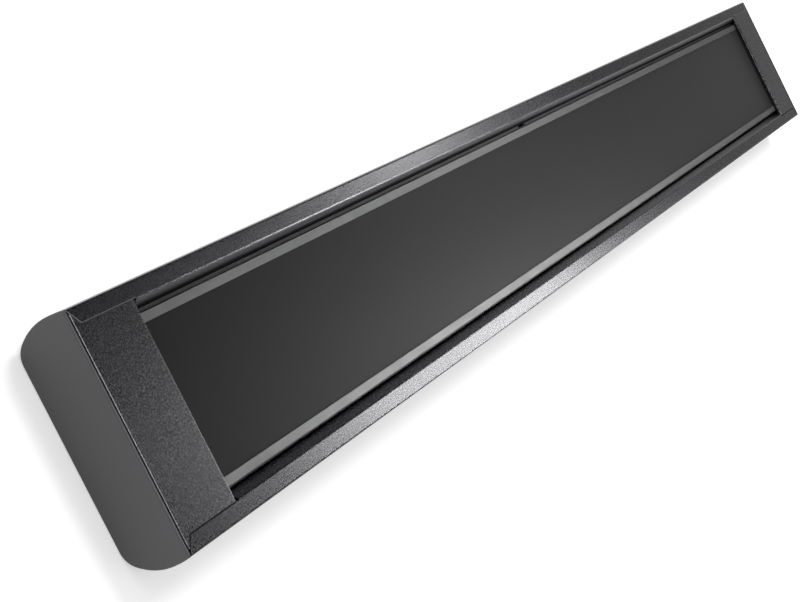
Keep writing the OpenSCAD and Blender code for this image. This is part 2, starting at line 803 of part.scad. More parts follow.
module lead_eyes() {
    color([0.78, 0.77, 0.74]) {
        for (y = [-leg_outer, leg_outer])
            translate([link_x, y, element_z]) rotate([90, 0, 90]) lead_eye(pin_d);
        translate([earth_x, earth_y, sheet_t + earth_nut_t]) lead_eye(earth_d);
    }
}

// Smooth curve through a list of points
function unit(v) = v / norm(v);
function smooth(points) = [
    for (i = [0 : len(points) - 2], k = [0 : route_steps - 1])
        let (
            a = points[max(i - 1, 0)],
            b = points[i],
            c = points[i + 1],
            d = points[min(i + 2, len(points) - 1)],
            t = k / route_steps
        )
        b + 0.5 * t * (c - a + t * (2 * a - 5 * b + 4 * c - d + t * (3 * b - a - 3 * c + d))),
    points[len(points) - 1]
];

// Swept tube through a list of points, with square ends
module tube(points, d) {
    count = len(points);
    rings = [
        for (i = [0 : count - 1])
            let (
                ahead = unit(points[min(i + 1, count - 1)] - points[max(i - 1, 0)]),
                side = unit(cross(ahead, abs(ahead[2]) < 0.9 ? [0, 0, 1] : [0, 1, 0])),
                up = cross(side, ahead)
            )
            for (k = [0 : tube_sides - 1])
                points[i] + d / 2 * (side * cos(k * 360 / tube_sides) + up * sin(k * 360 / tube_sides))
    ];
    walls = [
        for (i = [0 : count - 2], k = [0 : tube_sides - 1])
            let (n = (k + 1) % tube_sides, a = i * tube_sides, b = a + tube_sides)
            each [[a + k, b + k, b + n], [a + k, b + n, a + n]]
    ];
    start = [for (k = [1 : tube_sides - 2]) [0, k, k + 1]];
    last = (count - 1) * tube_sides;
    end = [for (k = [1 : tube_sides - 2]) [last, last + k + 1, last + k]];
    polyhedron(points = rings, faces = concat(walls, start, end));
}

// Start of a lead in one way of the terminal block, and end of a lead at a terminal, both straight
function from_way(i, turn) = [
    for (reach = [-4, 0.5, 3]) [block_x + turn * (block_width / 2 + reach), way_y(i), way_z]
];
function to_terminal(place, direction) = [for (back = [5, 2, 0]) place - (back + lead_end_gap) * direction];

// Leads from the terminal block to the cut-out, the link, the outer pins and the earth stud
module internal_leads() {
    in_x = block_x - block_width / 2;
    out_x = block_x + block_width / 2;
    spade_x = cutout_x + cutout_height + spade_length - lead_d / 2;
    eye_x = link_x + link_t / 2;
    eye_low = element_z - eye_tail;
    floor_z = sheet_t + lead_d / 2 + slip;
    earth_eye = [earth_x, earth_y - eye_tail, sheet_t + earth_nut_t + link_t / 2];
    up = [0, 0, 1];
    routes = [
        concat(
            from_way(2, -1),
            [[in_x - 6, -spade_pitch / 2 - 2, way_z + 3]],
            to_terminal([spade_x, -spade_pitch / 2, cutout_z - spade_width / 2], up)
        ),
        concat(
            backwards(to_terminal([spade_x, spade_pitch / 2, cutout_z + spade_width / 2], -up)),
            [[eye_x, spade_pitch / 2, element_z - eye_r(pin_d) - lead_end_gap]]
        ),
        concat(
            from_way(1, -1),
            [[in_x - 7, -block_y - way_pitch, way_z + 4], [in_x - 4, 6 - leg_outer, way_z + 9]],
            to_terminal([eye_x, -leg_outer, eye_low], up)
        ),
        concat(
            from_way(1, 1),
            [
                [out_x + 7, -block_y + 8, way_z], [out_x + 8, 4, way_z],
                [out_x + 5, earth_y - 4, way_z], [out_x - 2, leg_outer - 6, way_z + 4]
            ],
            to_terminal([eye_x, leg_outer, eye_low], up)
        ),
        concat(
            from_way(0, 1),
            [
                [out_x + 4, way_y(0) + 6, way_z - 3], [out_x + 3, -block_y + 10, floor_z],
                [out_x + 1, 0, floor_z], [earth_x + 2, earth_y - eye_tail - 10, floor_z]
            ],
            to_terminal(earth_eye, [0, 1, 0])
        )
    ];
    color([0.75, 0.72, 0.66]) for (route = routes) tube(smooth(route), lead_d);
}

// Cable gland: threaded body through the end plate, with a collar around the rubber seal
module gland_body() {
    color([0.08, 0.08, 0.085]) difference() {
        union() {
            rod_x(end_x - end_plate_t - gland_thread, end_x + over, gland_d / 2, 0, gland_z);
            translate([end_x, 0, gland_z]) rotate([0, 90, 0]) hexagon(gland_flats, gland_hex_t);
            rod_x(gland_out - over, gland_out + 0.8 * gland_seal_length, collar_r, 0, gland_z);
        }
        rod_x(end_x - end_plate_t - gland_thread - over, gland_out + over, gland_bore_r, 0, gland_z);
        rod_x(gland_out, gland_out + gland_seal_length + over, collar_bore_r, 0, gland_z);
    }
}

module gland_nut() {
    dome_r = gland_nut_length * 0.45;
    hexagon_length = gland_nut_length - dome_r;
    color([0.08, 0.08, 0.085]) translate([gland_out + slip, 0, gland_z]) rotate([0, 90, 0]) difference() {
        union() {
            hexagon(gland_flats, hexagon_length);
            rotate_extrude() polygon(concat(
                [[0, 0], [gland_dome_r, 0], [gland_dome_r, hexagon_length]],
                arc([gland_dome_r - dome_r, hexagon_length], dome_r, 0, 90),
                [[0, gland_nut_length]]
            ));
        }
        translate([0, 0, -over]) cylinder(h = gland_seal_length + over, r = collar_r + screw_play);
        translate([0, 0, -over]) cylinder(h = gland_nut_length + 2 * over, r = gland_bore_r);
    }
}

module gland_seal() {
    color([0.2, 0.2, 0.2]) difference() {
        rod_x(gland_out + slip, gland_out + gland_seal_length, collar_bore_r - screw_play, 0, gland_z);
        rod_x(gland_out - over, gland_out + gland_seal_length + over, gland_seal_bore / 2, 0, gland_z);
    }
}

module gland_locknut() {
    near_face = end_x - end_plate_t - locknut_t;
    color([0.08, 0.08, 0.085]) difference() {
        translate([near_face, 0, gland_z]) rotate([0, 90, 0]) hexagon(gland_flats, locknut_t);
        rod_x(near_face - over, near_face + locknut_t + over, gland_d / 2 + screw_play, 0, gland_z);
    }
}

module end_plate_screws() {
    color([0.12, 0.12, 0.12]) tab_places() difference() {
        screw_shape(0);
        translate([0, 0, -over]) cylinder(h = screw_cone + over, r = screw_d * 0.3, $fn = 6);
    }
}

// Fixing nut that slides in the channel, with a neck in the slot
module fixing_nut(side) {
    wing_low = sheet_t + slip;
    wing_half = channel_width / 2 - slip;
    neck_half = slot_width / 2 - slip;
    color([0.7, 0.7, 0.7]) translate([side * fixing_spacing / 2, 0, 0]) difference() {
        union() {
            translate([-nut_length / 2, -wing_half, wing_low]) cube([nut_length, 2 * wing_half, nut_t]);
            translate([-nut_neck / 2, -neck_half, neck_recess]) cube([nut_neck, 2 * neck_half, wing_low]);
        }
        translate([0, 0, -over]) cylinder(h = wing_low + nut_t + 2 * over, r = nut_bore_d / 2);
    }
}

casing();
mounting_channel();
end_plate(-1, false);  // end_plate_left
end_plate(1, true);  // end_plate_right
end_seal(-1);  // end_seal_left
end_seal(1);  // end_seal_right
end_cover(-1);  // end_cover_left
end_cover(1);  // end_cover_right
radiant_panel();
edge_rail(1);  // edge_rail_upper
edge_rail(-1);  // edge_rail_lower
inner_tray();
tray_spacers();
insulation_board();
hairpin(1);  // element_upper
hairpin(-1);  // element_lower
element_pins();
ceramic_beads();
pin_nuts();
live_link();
panel_studs();
standoff_sleeves();
panel_stud_nuts();
bulkhead();
terminal_block();
terminal_screws();
thermal_cutout();
earth_stud();
lead_eyes();
internal_leads();
gland_body();
gland_nut();
gland_seal();
gland_locknut();
end_plate_screws();
fixing_nut(-1);  // fixing_nut_left
fixing_nut(1);  // fixing_nut_right
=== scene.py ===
import math

import bmesh
import bpy
from bpy.props import FloatProperty, FloatVectorProperty, IntProperty, PointerProperty
from mathutils import Matrix, Vector


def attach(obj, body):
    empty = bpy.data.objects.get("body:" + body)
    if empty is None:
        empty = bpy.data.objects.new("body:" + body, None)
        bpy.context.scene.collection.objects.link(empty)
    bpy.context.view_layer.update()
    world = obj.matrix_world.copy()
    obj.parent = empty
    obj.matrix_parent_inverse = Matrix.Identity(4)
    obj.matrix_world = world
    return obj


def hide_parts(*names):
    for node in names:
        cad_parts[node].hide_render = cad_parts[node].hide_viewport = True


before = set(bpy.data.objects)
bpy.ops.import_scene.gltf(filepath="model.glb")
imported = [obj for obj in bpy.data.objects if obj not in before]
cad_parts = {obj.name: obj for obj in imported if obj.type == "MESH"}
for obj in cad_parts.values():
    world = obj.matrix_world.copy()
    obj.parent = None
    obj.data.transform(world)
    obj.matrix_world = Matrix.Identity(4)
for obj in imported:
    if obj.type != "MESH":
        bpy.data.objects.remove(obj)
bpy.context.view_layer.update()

bl_info = {
    "name": "Flat-Panel Patio Heater",
    "version": (1, 0, 0),
    "blender": (4, 5, 0),
    "location": "View3D > Sidebar > Heater",
    "description": "Dresses the pieces of a long flat-panel radiant patio heater",
    "category": "Object",
}

BODY = "heater"
MM = 0.001

# Places on the front, in metres: FRONT counts from the back, and the others from the heater's middle.
# They are the flanges' inner edges and the covers' edges, with the covers' shift to the upper side
FRONT = 53 * MM
OPENING_HALF = 79.5 * MM
COVER_HALF = 78.9 * MM
COVER_SHIFT = 0.35 * MM

# Along the heater: where the lips end, where a cover's ears start and where the flanges' mitres start,
# with the mitre's rise across the heater for each step along it
LIP_END = 757 * MM
EAR_START = 826 * MM
MITRE_START = 820.5 * MM
MITRE_SLOPE = 1.268

# Painted highlight: pale colour painted on the upper lip's bend, the upper cut edge beside the covers and
# the mitre line
PAINTED_EDGE_HIGHLIGHT = (0.16, 0.16, 0.165)

# Extent of the bands of painted shade and painted highlight: what lies less than FACE_SKIN deep belongs to
# the flat face
FACE_SKIN = 0.03 * MM
FRONT_DEPTH = 12 * MM
LIP_DEPTH = 8 * MM
LIP_MARGIN = 1.5 * MM
EDGE_BAND = 8 * MM
TONGUE_MARGIN = 0.3 * MM
CUT_LINE = 0.4 * MM
MITRE_LINE = 0.6 * MM

# Stretch of a texture: drawn out along the heater, or the same every way
ALONG = (0.01, 1, 1)
EVEN = (1, 1, 1)

# Rounded copies: vertices within MERGE_DISTANCE merge, and folds under FLAT_ANGLE are taken out.
# Folds over ROUNDED_ANGLE are rounded if longer than SHORTEST_EDGE, and folds over CREASE_ANGLE look sharp
MERGE_DISTANCE = 0.001 * MM
SHORTEST_EDGE = 1.0 * MM
FLAT_ANGLE = math.radians(0.2)
CREASE_ANGLE = math.radians(35)
ROUNDED_ANGLE = math.radians(38)

# Camera: where it stands, the point of the radiant panel that it looks at, and its upward direction
CAMERA_PLACE = Vector((-1.7375, 0.0563, 0.8224))
CAMERA_AIM = Vector((-0.4260, -0.0198, 0.0465))
CAMERA_UP = Vector((0.2671, 0.8923, 0.3640))
CAMERA_LENS = 79.8
SENSOR_WIDTH = 36.0

# Most lamps aim at the part of the front that shines most, and the fold card at the near cover
HIGHLIGHT = Vector((-0.3, 0, 0.05))
NEAR_COVER = Vector((-0.8, 0, 0.05))

# Lamps that only make highlights: place, aim, width in metres, and the stage's value for the power
GLOSS_LAMPS = {
    "key_lamp": (Vector((1.195, -0.22, 1.106)), HIGHLIGHT, 0.3, "key_power"),
    "bend_lamp": (Vector((0.905, -0.44, 0.70)), HIGHLIGHT, 0.2, "bend_power"),
    "fold_card": (Vector((-0.88, -0.03, 1.55)), NEAR_COVER, 0.6, "fold_power"),
    "upper_lamp": (Vector((0.812, 0.136, 0.675)), HIGHLIGHT, 0.12, "upper_power"),
    "lower_lamp": (Vector((1.03, -0.21, 0.68)), HIGHLIGHT, 0.14, "lower_power"),
}

# The fill lamp lights the whole heater, and gloss doesn't show it
FILL_PLACE = Vector((1.6, 2.4, 4.5))
FILL_WIDTH = 2.5

# How far the floor lies below the back
FLOOR_GAP = 0.2 * MM


def colour_property(name, description, default):
    return FloatVectorProperty(
        name=name, description=description, subtype="COLOR", size=3, min=0, max=1, default=default
    )


def power_property(name, description, default):
    in_watts = description + ", in watts"
    return FloatProperty(name=name, description=in_watts, default=default, min=0, max=1000)


class HeaterFinish(bpy.types.PropertyGroup):
    """Colours and surface sizes of the heater's finishes"""

    coat: colour_property("Coat", "Black powder coat of the casing", (0.0010, 0.0009, 0.0013))
    coat_fleck: colour_property("Coat fleck", "Paler flecks in the powder coat", (0.0290, 0.0266, 0.0350))
    end_coat: colour_property("End plates", "Smooth coat of the end plates", (0.086, 0.086, 0.090))
    panel: colour_property("Panel", "Black coating of the radiant panel", (0.0025, 0.0025, 0.0027))
    rail: colour_property("Rails", "Grey anodised edge rails", (0.130, 0.130, 0.132))
    grain: FloatProperty(
        name="Grain", description="Size of the powder coat's grain",
        subtype="DISTANCE", unit="LENGTH", default=1.6 * MM, min=0.2 * MM, max=4 * MM,
    )
    edge_radius: FloatProperty(
        name="Edge radius", description="Rounding of the sheet metal's cut edges",
        subtype="DISTANCE", unit="LENGTH", default=0.25 * MM, min=0.05 * MM, max=0.5 * MM,
    )
    edge_steps: IntProperty(
        name="Edge steps", description="Facets across a rounded edge", default=2, min=1, max=4
    )


class HeaterStage(bpy.types.PropertyGroup):
    """Floor, sky and lamps of the plain studio"""

    floor_size: FloatProperty(
        name="Floor size", description="Side of the square floor",
        subtype="DISTANCE", unit="LENGTH", default=30, min=5, max=80,
    )
    floor: colour_property("Floor", "Pale floor", (0.9, 0.9, 0.9))
    floor_lift: FloatProperty(
        name="Floor lift", description="Light that the floor adds for the camera",
        default=0.375, min=0, max=1,
    )
    ambient: FloatProperty(
        name="Ambient", description="Strength of the light from all round", default=0.65, min=0, max=2
    )
    backdrop: FloatProperty(
        name="Backdrop", description="How bright the backdrop looks in glossy surfaces",
        default=0.7, min=0, max=1,
    )
    ceiling: FloatProperty(
        name="Ceiling", description="How bright the studio's ceiling looks in glossy surfaces",
        default=0.01, min=0, max=1,
    )
    key_power: power_property("Key lamp", "Softbox beyond the middle of the heater", 3.5)
    bend_power: power_property("Bend lamp", "Small lamp for the bends that face the lower side", 3.8)
    fold_power: power_property("Fold card", "Card above the near end, for the cover's fold", 13)
    upper_power: power_property("Upper lamp", "Small lamp that lights the upper flange", 0.60)
    lower_power: power_property("Lower lamp", "Small lamp that lights the lower flange", 0.92)
    fill_power: power_property("Fill lamp", "Large lamp high on the upper side", 145)


class Wire:
    """A shader socket that Python's operators turn into Math nodes"""

    def __init__(self, paint, socket):
        self.paint = paint
        self.socket = socket

    def math(self, operation, *values):
        inputs = dict(enumerate(values))
        return self.paint.node("ShaderNodeMath", {"operation": operation}, inputs)

    def __add__(self, other):
        return self.math("ADD", self, other)

    def __sub__(self, other):
        return self.math("SUBTRACT", self, other)

    def __rsub__(self, other):
        return self.math("SUBTRACT", other, self)

    def __mul__(self, other):
        return self.math("MULTIPLY", self, other)

    def maximum(self, other):
        return self.math("MAXIMUM", self, other)

    def above(self, limit):
        """1 where the value is above the limit, and 0 elsewhere"""
        return self.math("GREATER_THAN", self, limit)

    def below(self, limit):
        """1 where the value is below the limit, and 0 elsewhere"""
        return self.math("LESS_THAN", self, limit)

    def size(self):
        """The value without its sign"""
        return self.math("ABSOLUTE", self)

    __radd__ = __add__
    __rmul__ = __mul__


class Paint:
    """The nodes of one procedural material, or of the world"""

    def __init__(self, holder, shader="BSDF_PRINCIPLED"):
        holder.use_nodes = True
        self.holder = holder
        self.tree = holder.node_tree
        self.shader = next(node for node in self.tree.nodes if node.type == shader)
        self.places = self.node("ShaderNodeTexCoord", output="Object")

    def node(self, kind, settings=None, inputs=None, output=0):
        node = self.tree.nodes.new(kind)
        for key, value in (settings or {}).items():
            if key == "stops":
                self.set_stops(node.color_ramp, value)
            else:
                setattr(node, key, value)
        for key, value in (inputs or {}).items():
            self.feed(node.inputs[key], value)
        return Wire(self, node.outputs[output])

    def set_stops(self, ramp, stops):
        while len(ramp.elements) < len(stops):
            ramp.elements.new(1.0)
        for element, (position, value) in zip(ramp.elements, stops):
            element.position = position
            element.color = (value, value, value, 1)

    def feed(self, socket, value):
        if isinstance(value, Wire):
            self.tree.links.new(value.socket, socket)
        elif socket.type == "RGBA" and len(value) == 3:
            socket.default_value = (*value, 1)
        else:
            socket.default_value = value

    def axes(self):
        """Object coordinates in metres, one socket for each axis"""
        inputs = {"Vector": self.places}
        return [self.node("ShaderNodeSeparateXYZ", None, inputs, output=axis) for axis in "XYZ"]

    def stretched(self, scale):
        """Object coordinates in metres, multiplied axis by axis"""
        return self.node("ShaderNodeVectorMath", {"operation": "MULTIPLY"}, {0: self.places, 1: scale})

    def noise(self, size, detail=2.0, stretch=EVEN, roughness=0.5):
        """Noise whose features are about as large as size, in metres"""
        scale = tuple(axis / size for axis in stretch)
        return self.node(
            "ShaderNodeTexNoise", None,
            {"Vector": self.stretched(scale), "Scale": 1.0, "Detail": detail, "Roughness": roughness},
        )

    def ramp(self, value, *stops):
        return self.node("ShaderNodeValToRGB", {"stops": stops}, {"Fac": value})

    def blend(self, factor, a, b):
        settings = {"data_type": "RGBA"}
        return self.node("ShaderNodeMix", settings, {"Factor": factor, 6: a, 7: b}, output=2)

    def bump(self, height, strength, distance):
        inputs = {"Height": height, "Strength": strength, "Distance": distance}
        return self.node("ShaderNodeBump", None, inputs)

    def finish(self, **values):
        for key, value in values.items():
            self.feed(self.shader.inputs[key.replace("_", " ")], value)
        return self.holder


def new_paint(name):
    return Paint(bpy.data.materials.new(name))


def scaled(colour, factor):
    """The same hue, darker or paler"""
    return tuple(factor * part for part in colour)


def casing_painted_light(paint):
    """Painted shade and painted highlights on the casing: dark below the face beside the covers and
    further down the upper lip, and pale on the upper lip's top part, the upper cut edge and the mitre
    """
    x, y, z = paint.axes()
    front = z.above(FRONT - FRONT_DEPTH)
    beside_cover = x.size().above(LIP_END)
    under_face = z.below(FRONT - FACE_SKIN)
    # The gaps below the face beside the end covers, which get painted shade
    edges = beside_cover * under_face * y.size().below(OPENING_HALF + EDGE_BAND)
    depth = (FRONT - z) * (1 / LIP_DEPTH)
    lip = y.above(0.0) * y.below(OPENING_HALF - LIP_MARGIN)
    # Painted shade in those gaps, and on the upper lip, darker further down
    painted_shade = edges.maximum(lip * paint.ramp(depth, (0.35, 0.0), (0.75, 1.0)))
    # Painted highlight on the upper lip's top part, fading further down
    bend = lip * paint.ramp(depth, (0.1, 0.5), (0.65, 0.0))
    outward = y - OPENING_HALF
    # Painted highlights along the upper flange's cut edge beside the covers and along its mitre line
    cut = beside_cover * outward.size().below(CUT_LINE)
    beside_mitre = x.size().above(MITRE_START) * y.above(OPENING_HALF)
    past_mitre = (x.size() - MITRE_START) * MITRE_SLOPE - outward
    mitre = beside_mitre * past_mitre.size().below(MITRE_LINE)
    # Gives the painted shade and the painted highlight, both only near the front
    return front * painted_shade, front * bend.maximum(cut).maximum(mitre)


def cover_painted_shade(paint):
    """Painted shade on a cover's tongues under the flanges, which darkens the seams; nowhere is there
    painted highlight
    """
    x, y, z = paint.axes()
    tongue = (y - COVER_SHIFT).size().above(COVER_HALF - TONGUE_MARGIN)
    painted_shade = tongue * z.below(FRONT - FACE_SKIN) * x.size().below(EAR_START)
    return painted_shade, 0.0


def powder_coat(name, finish, shine, evenness, painted_light):
    """Orange-peel powder coat: hollows get the share evenness of the shine, and crests get the rest"""
    grain = finish.grain
    paint = new_paint(name)
    # Two masks: painted shade, which makes the coat dark and matt, and painted highlight, a pale colour
    painted_shade, pale = painted_light(paint)
    peel = paint.noise(grain, detail=3.0, roughness=0.6)
    patches = paint.noise(60 * grain, detail=2.0)
    crests = paint.ramp(peel, (0.38, 0.0), (0.66, 1.0))
    specks = paint.ramp(peel, (0.46, 0.0), (0.68, 1.0))
    flecks = (1 - painted_shade) * specks * (0.5 + 0.5 * patches)
    coated = paint.blend(flecks, finish.coat, finish.coat_fleck)
    return paint.finish(
        # Painted highlight in the base colour; the painted shade mask below darkens the coat and takes
        # away its gloss
        Base_Color=paint.blend(pale, coated, PAINTED_EDGE_HIGHLIGHT),
        Roughness=0.25 + 0.06 * (patches - 0.5) + 0.6 * painted_shade,
        Specular_IOR_Level=0.4,
        Specular_Tint=(0.94, 0.94, 0.98),
        Metallic=painted_shade,
        Coat_Weight=(1 - painted_shade) * shine * (evenness + (1 - 2 * evenness) * crests),
        Coat_Roughness=0.34,
        Coat_Tint=(0.98, 0.97, 1.0),
        Normal=paint.bump(peel, 0.5, 0.015 * grain),
    )


def smooth_coat(name, colour):
    """Smooth matt coat with hardly any grain"""
    paint = new_paint(name)
    peel = paint.noise(0.8 * MM, detail=2.0)
    cloud = paint.noise(90 * MM, detail=2.0)
    return paint.finish(
        Base_Color=paint.blend(cloud * 0.6 + peel * 0.15, colour, scaled(colour, 0.86)),
        Roughness=0.5 + 0.06 * (peel - 0.5) + 0.05 * (cloud - 0.5),
        Normal=paint.bump(peel, 0.08, 0.03 * MM),
        Specular_IOR_Level=0.4,
    )


def radiant_coating(name, colour):
    """Thin black radiant coating over an extruded plate, with faint die lines along it"""
    paint = new_paint(name)
    lines = paint.noise(1.4 * MM, detail=3.0, stretch=(0.004, 1, 1))
    cloud = paint.noise(120 * MM, detail=3.0, stretch=(0.5, 1, 1))
    return paint.finish(
        Base_Color=paint.blend(cloud * 0.7 + lines * 0.2, colour, scaled(colour, 1.7)),
        Roughness=0.42 + 0.06 * (cloud - 0.5) + 0.04 * (lines - 0.5),
        Normal=paint.bump(lines, 0.05, 0.02 * MM),
        Specular_IOR_Level=0.075,
        Sheen_Weight=0.5,
        Sheen_Roughness=0.3,
    )


def drawn_metal(name, colour, roughness, metallic=1.0, stretch=ALONG, stain=None):
    """Rolled, drawn or plated metal with fine lines and slight stains"""
    paint = new_paint(name)
    lines = paint.noise(0.6 * MM, detail=3.0, stretch=stretch)
    cloud = paint.noise(25 * MM, detail=3.0)
    stains = paint.ramp(cloud, (0.35, 0.0), (0.75, 1.0))
    return paint.finish(
        Base_Color=paint.blend(stains * 0.6 + lines * 0.25, colour, stain or scaled(colour, 0.78)),
        Metallic=metallic,
        Roughness=roughness + 0.12 * (lines - 0.5) + 0.10 * (cloud - 0.5),
        Normal=paint.bump(lines, 0.12, 0.03 * MM),
    )


def moulded(name, colour, roughness):
    """Dark moulded plastic, rubber or phenolic"""
    paint = new_paint(name)
    peel = paint.noise(0.5 * MM, detail=2.0)
    cloud = paint.noise(12 * MM, detail=2.0)
    pale = tuple(part + 0.004 for part in scaled(colour, 1.4))
    return paint.finish(
        Base_Color=paint.blend(cloud * 0.6 + peel * 0.2, colour, pale),
        Roughness=roughness + 0.1 * (peel - 0.5),
        Normal=paint.bump(peel, 0.15, 0.05 * MM),
    )


def fired_ceramic(name, colour, roughness):
    """Steatite or pressed mineral, with pores"""
    paint = new_paint(name)
    pores = paint.ramp(paint.noise(0.7 * MM, detail=3.0), (0.3, 0.0), (0.45, 1.0))
    cloud = paint.noise(10 * MM, detail=2.0)
    return paint.finish(
        Base_Color=paint.blend(0.5 * cloud + 0.3 * (1 - pores), colour, scaled(colour, 0.82)),
        Roughness=roughness + 0.15 * (1 - pores),
        Normal=paint.bump(pores, 0.2, 0.08 * MM),
    )


def fibre_board(name, colour):
    """Mineral fibre board"""
    paint = new_paint(name)
    fibres = paint.noise(1.2 * MM, detail=5.0, stretch=(0.25, 1, 1), roughness=0.7)
    clumps = paint.noise(15 * MM, detail=3.0)
    return paint.finish(
        Base_Color=paint.blend(0.5 * fibres + 0.4 * clumps, colour, scaled(colour, 0.75)),
        Roughness=0.95,
        Normal=paint.bump(fibres + 0.6 * clumps, 0.6, 0.6 * MM),
    )


def glass_braid(name, colour):
    """Braided sleeving of the internal leads"""
    paint = new_paint(name)
    settings = {"wave_type": "BANDS", "bands_direction": "DIAGONAL"}
    one_way, other_way = (
        paint.node("ShaderNodeTexWave", settings, {"Vector": places, "Scale": 500.0}, output="Fac")
        for places in (paint.places, paint.stretched((1, -1, 1)))
    )
    weave = one_way * other_way
    return paint.finish(
        Base_Color=paint.blend(weave, scaled(colour, 0.55), colour),
        Roughness=0.85,
        Normal=paint.bump(weave, 0.5, 0.2 * MM),
    )


def wear(piece, material):
    piece.data.materials.clear()
    piece.data.materials.append(material)


def sharp_edges(bm, shortest):
    return [
        edge for edge in bm.edges
        if len(edge.link_faces) == 2
        and edge.calc_face_angle() > ROUNDED_ANGLE
        and edge.calc_length() > shortest
    ]


def settle(bm, name, body):
    """Turns a finished bmesh into a piece that rides on a body"""
    mesh = bpy.data.meshes.new(name)
    bm.to_mesh(mesh)
    bm.free()
    piece = bpy.data.objects.new(name, mesh)
    bpy.context.scene.collection.objects.link(piece)
    for polygon in mesh.polygons:
        polygon.use_smooth = True
    mesh.set_sharp_from_angle(angle=CREASE_ANGLE)
    weighted = piece.modifiers.new("weighted_normals", "WEIGHTED_NORMAL")
    weighted.keep_sharp = True
    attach(piece, body)
    return piece


def rounded_copy(node, radius, steps, body, shortest):
    """A merged copy of a CAD node with its sharp edges rounded, which stands for that node"""
    bm = bmesh.new()
    bm.from_mesh(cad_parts[node].data)
    bmesh.ops.remove_doubles(bm, verts=bm.verts, dist=MERGE_DISTANCE)
    bmesh.ops.dissolve_limit(
        bm, angle_limit=FLAT_ANGLE, use_dissolve_boundaries=False,
        verts=bm.verts, edges=bm.edges, delimit={"NORMAL"},
    )
    bmesh.ops.bevel(
        bm, geom=sharp_edges(bm, shortest), offset=radius, offset_type="OFFSET",
        segments=steps, profile=0.5, affect="EDGES", material=-1, clamp_overlap=True,
    )
    piece = settle(bm, node + "_shell", body)
    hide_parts(node)
    return piece


def dress(finish, node, material, radius=None, body=BODY, shortest=SHORTEST_EDGE):
    """Shows a rounded copy in place of a node, in its material"""
    edge_radius = radius or finish.edge_radius
    wear(rounded_copy(node, edge_radius, finish.edge_steps, body, shortest), material)


class HEATER_OT_casing(bpy.types.Operator):
    """Casing: folded sheet with bulged sides and rounded cut edges"""

    bl_idname = "heater.casing"
    bl_label = "Casing"

    def execute(self, context):
        finish = context.scene.heater_finish
        # The coat has painted shade in the gaps beside the covers and down the upper lip, and painted
        # highlights on the upper edges
        coat = powder_coat("casing_coat", finish, shine=0.58, evenness=0.2, painted_light=casing_painted_light)
        dress(finish, "casing", coat)
        return {"FINISHED"}


class HEATER_OT_end_plates(bpy.types.Operator):
    """End plates and the rubber seals behind them"""

    bl_idname = "heater.end_plates"
    bl_label = "End Plates and Seals"

    def execute(self, context):
        finish = context.scene.heater_finish
        coat = smooth_coat("end_plate_coat", finish.end_coat)
        rubber = moulded("end_seal_rubber", (0.012, 0.012, 0.012), roughness=0.75)
        for side in ("left", "right"):
            dress(finish, "end_plate_" + side, coat, radius=0.15 * MM)
            wear(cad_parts["end_seal_" + side], rubber)
        return {"FINISHED"}


class HEATER_OT_end_covers(bpy.types.Operator):
    """Folded covers over both ends of the opening"""

    bl_idname = "heater.end_covers"
    bl_label = "End Covers"

    def execute(self, context):
        finish = context.scene.heater_finish
        # The coat has painted shade on the tongues, which darkens the seams beside the flanges
        coat = powder_coat("cover_coat", finish, shine=1.0, evenness=0.0, painted_light=cover_painted_shade)
        for side in ("left", "right"):
            dress(finish, "end_cover_" + side, coat)
        return {"FINISHED"}


class HEATER_OT_panel(bpy.types.Operator):
    """Radiant panel and its two edge rails"""

    bl_idname = "heater.panel"
    bl_label = "Radiant Panel and Rails"

    def execute(self, context):
        finish = context.scene.heater_finish
        wear(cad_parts["radiant_panel"], radiant_coating("panel_black", finish.panel))
        rail = drawn_metal("rail_anodised", finish.rail, roughness=0.40, metallic=0.6)
        for side in ("upper", "lower"):
            dress(finish, "edge_rail_" + side, rail)
        return {"FINISHED"}


class HEATER_OT_tray(bpy.types.Operator):
    """Tray, bulkhead, insulation board and spacers"""

    bl_idname = "heater.tray"
    bl_label = "Tray and Insulation"

    def execute(self, context):
        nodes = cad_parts
        stain = (0.014, 0.013, 0.013)
        steel = drawn_metal("tray_steel", (0.022, 0.022, 0.023), roughness=0.5, metallic=0.6, stain=stain)
        for name in ("inner_tray", "bulkhead"):
            wear(nodes[name], steel)
        wear(nodes["insulation_board"], fibre_board("insulation_fibre", (0.78, 0.77, 0.73)))
        wear(nodes["tray_spacers"], fired_ceramic("spacer_mineral", (0.62, 0.61, 0.57), roughness=0.85))
        return {"FINISHED"}


class HEATER_OT_elements(bpy.types.Operator):
    """Tubular elements with their terminals, and the studs that hold the panel"""

    bl_idname = "heater.elements"
    bl_label = "Heating Elements and Studs"

    def execute(self, context):
        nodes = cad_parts
        sheath = drawn_metal("element_sheath", (0.34, 0.31, 0.27), roughness=0.4, stain=(0.17, 0.12, 0.10))
        for name in ("element_upper", "element_lower"):
            wear(nodes[name], sheath)
        nickel = drawn_metal("terminal_nickel", (0.60, 0.58, 0.54), roughness=0.32, stretch=EVEN)
        for name in ("element_pins", "pin_nuts", "live_link", "lead_eyes"):
            wear(nodes[name], nickel)
        zinc = drawn_metal("stud_zinc", (0.55, 0.56, 0.58), roughness=0.38, stretch=EVEN)
        for name in ("panel_studs", "standoff_sleeves", "panel_stud_nuts"):
            wear(nodes[name], zinc)
        wear(nodes["ceramic_beads"], fired_ceramic("bead_steatite", (0.86, 0.84, 0.78), roughness=0.4))
        return {"FINISHED"}


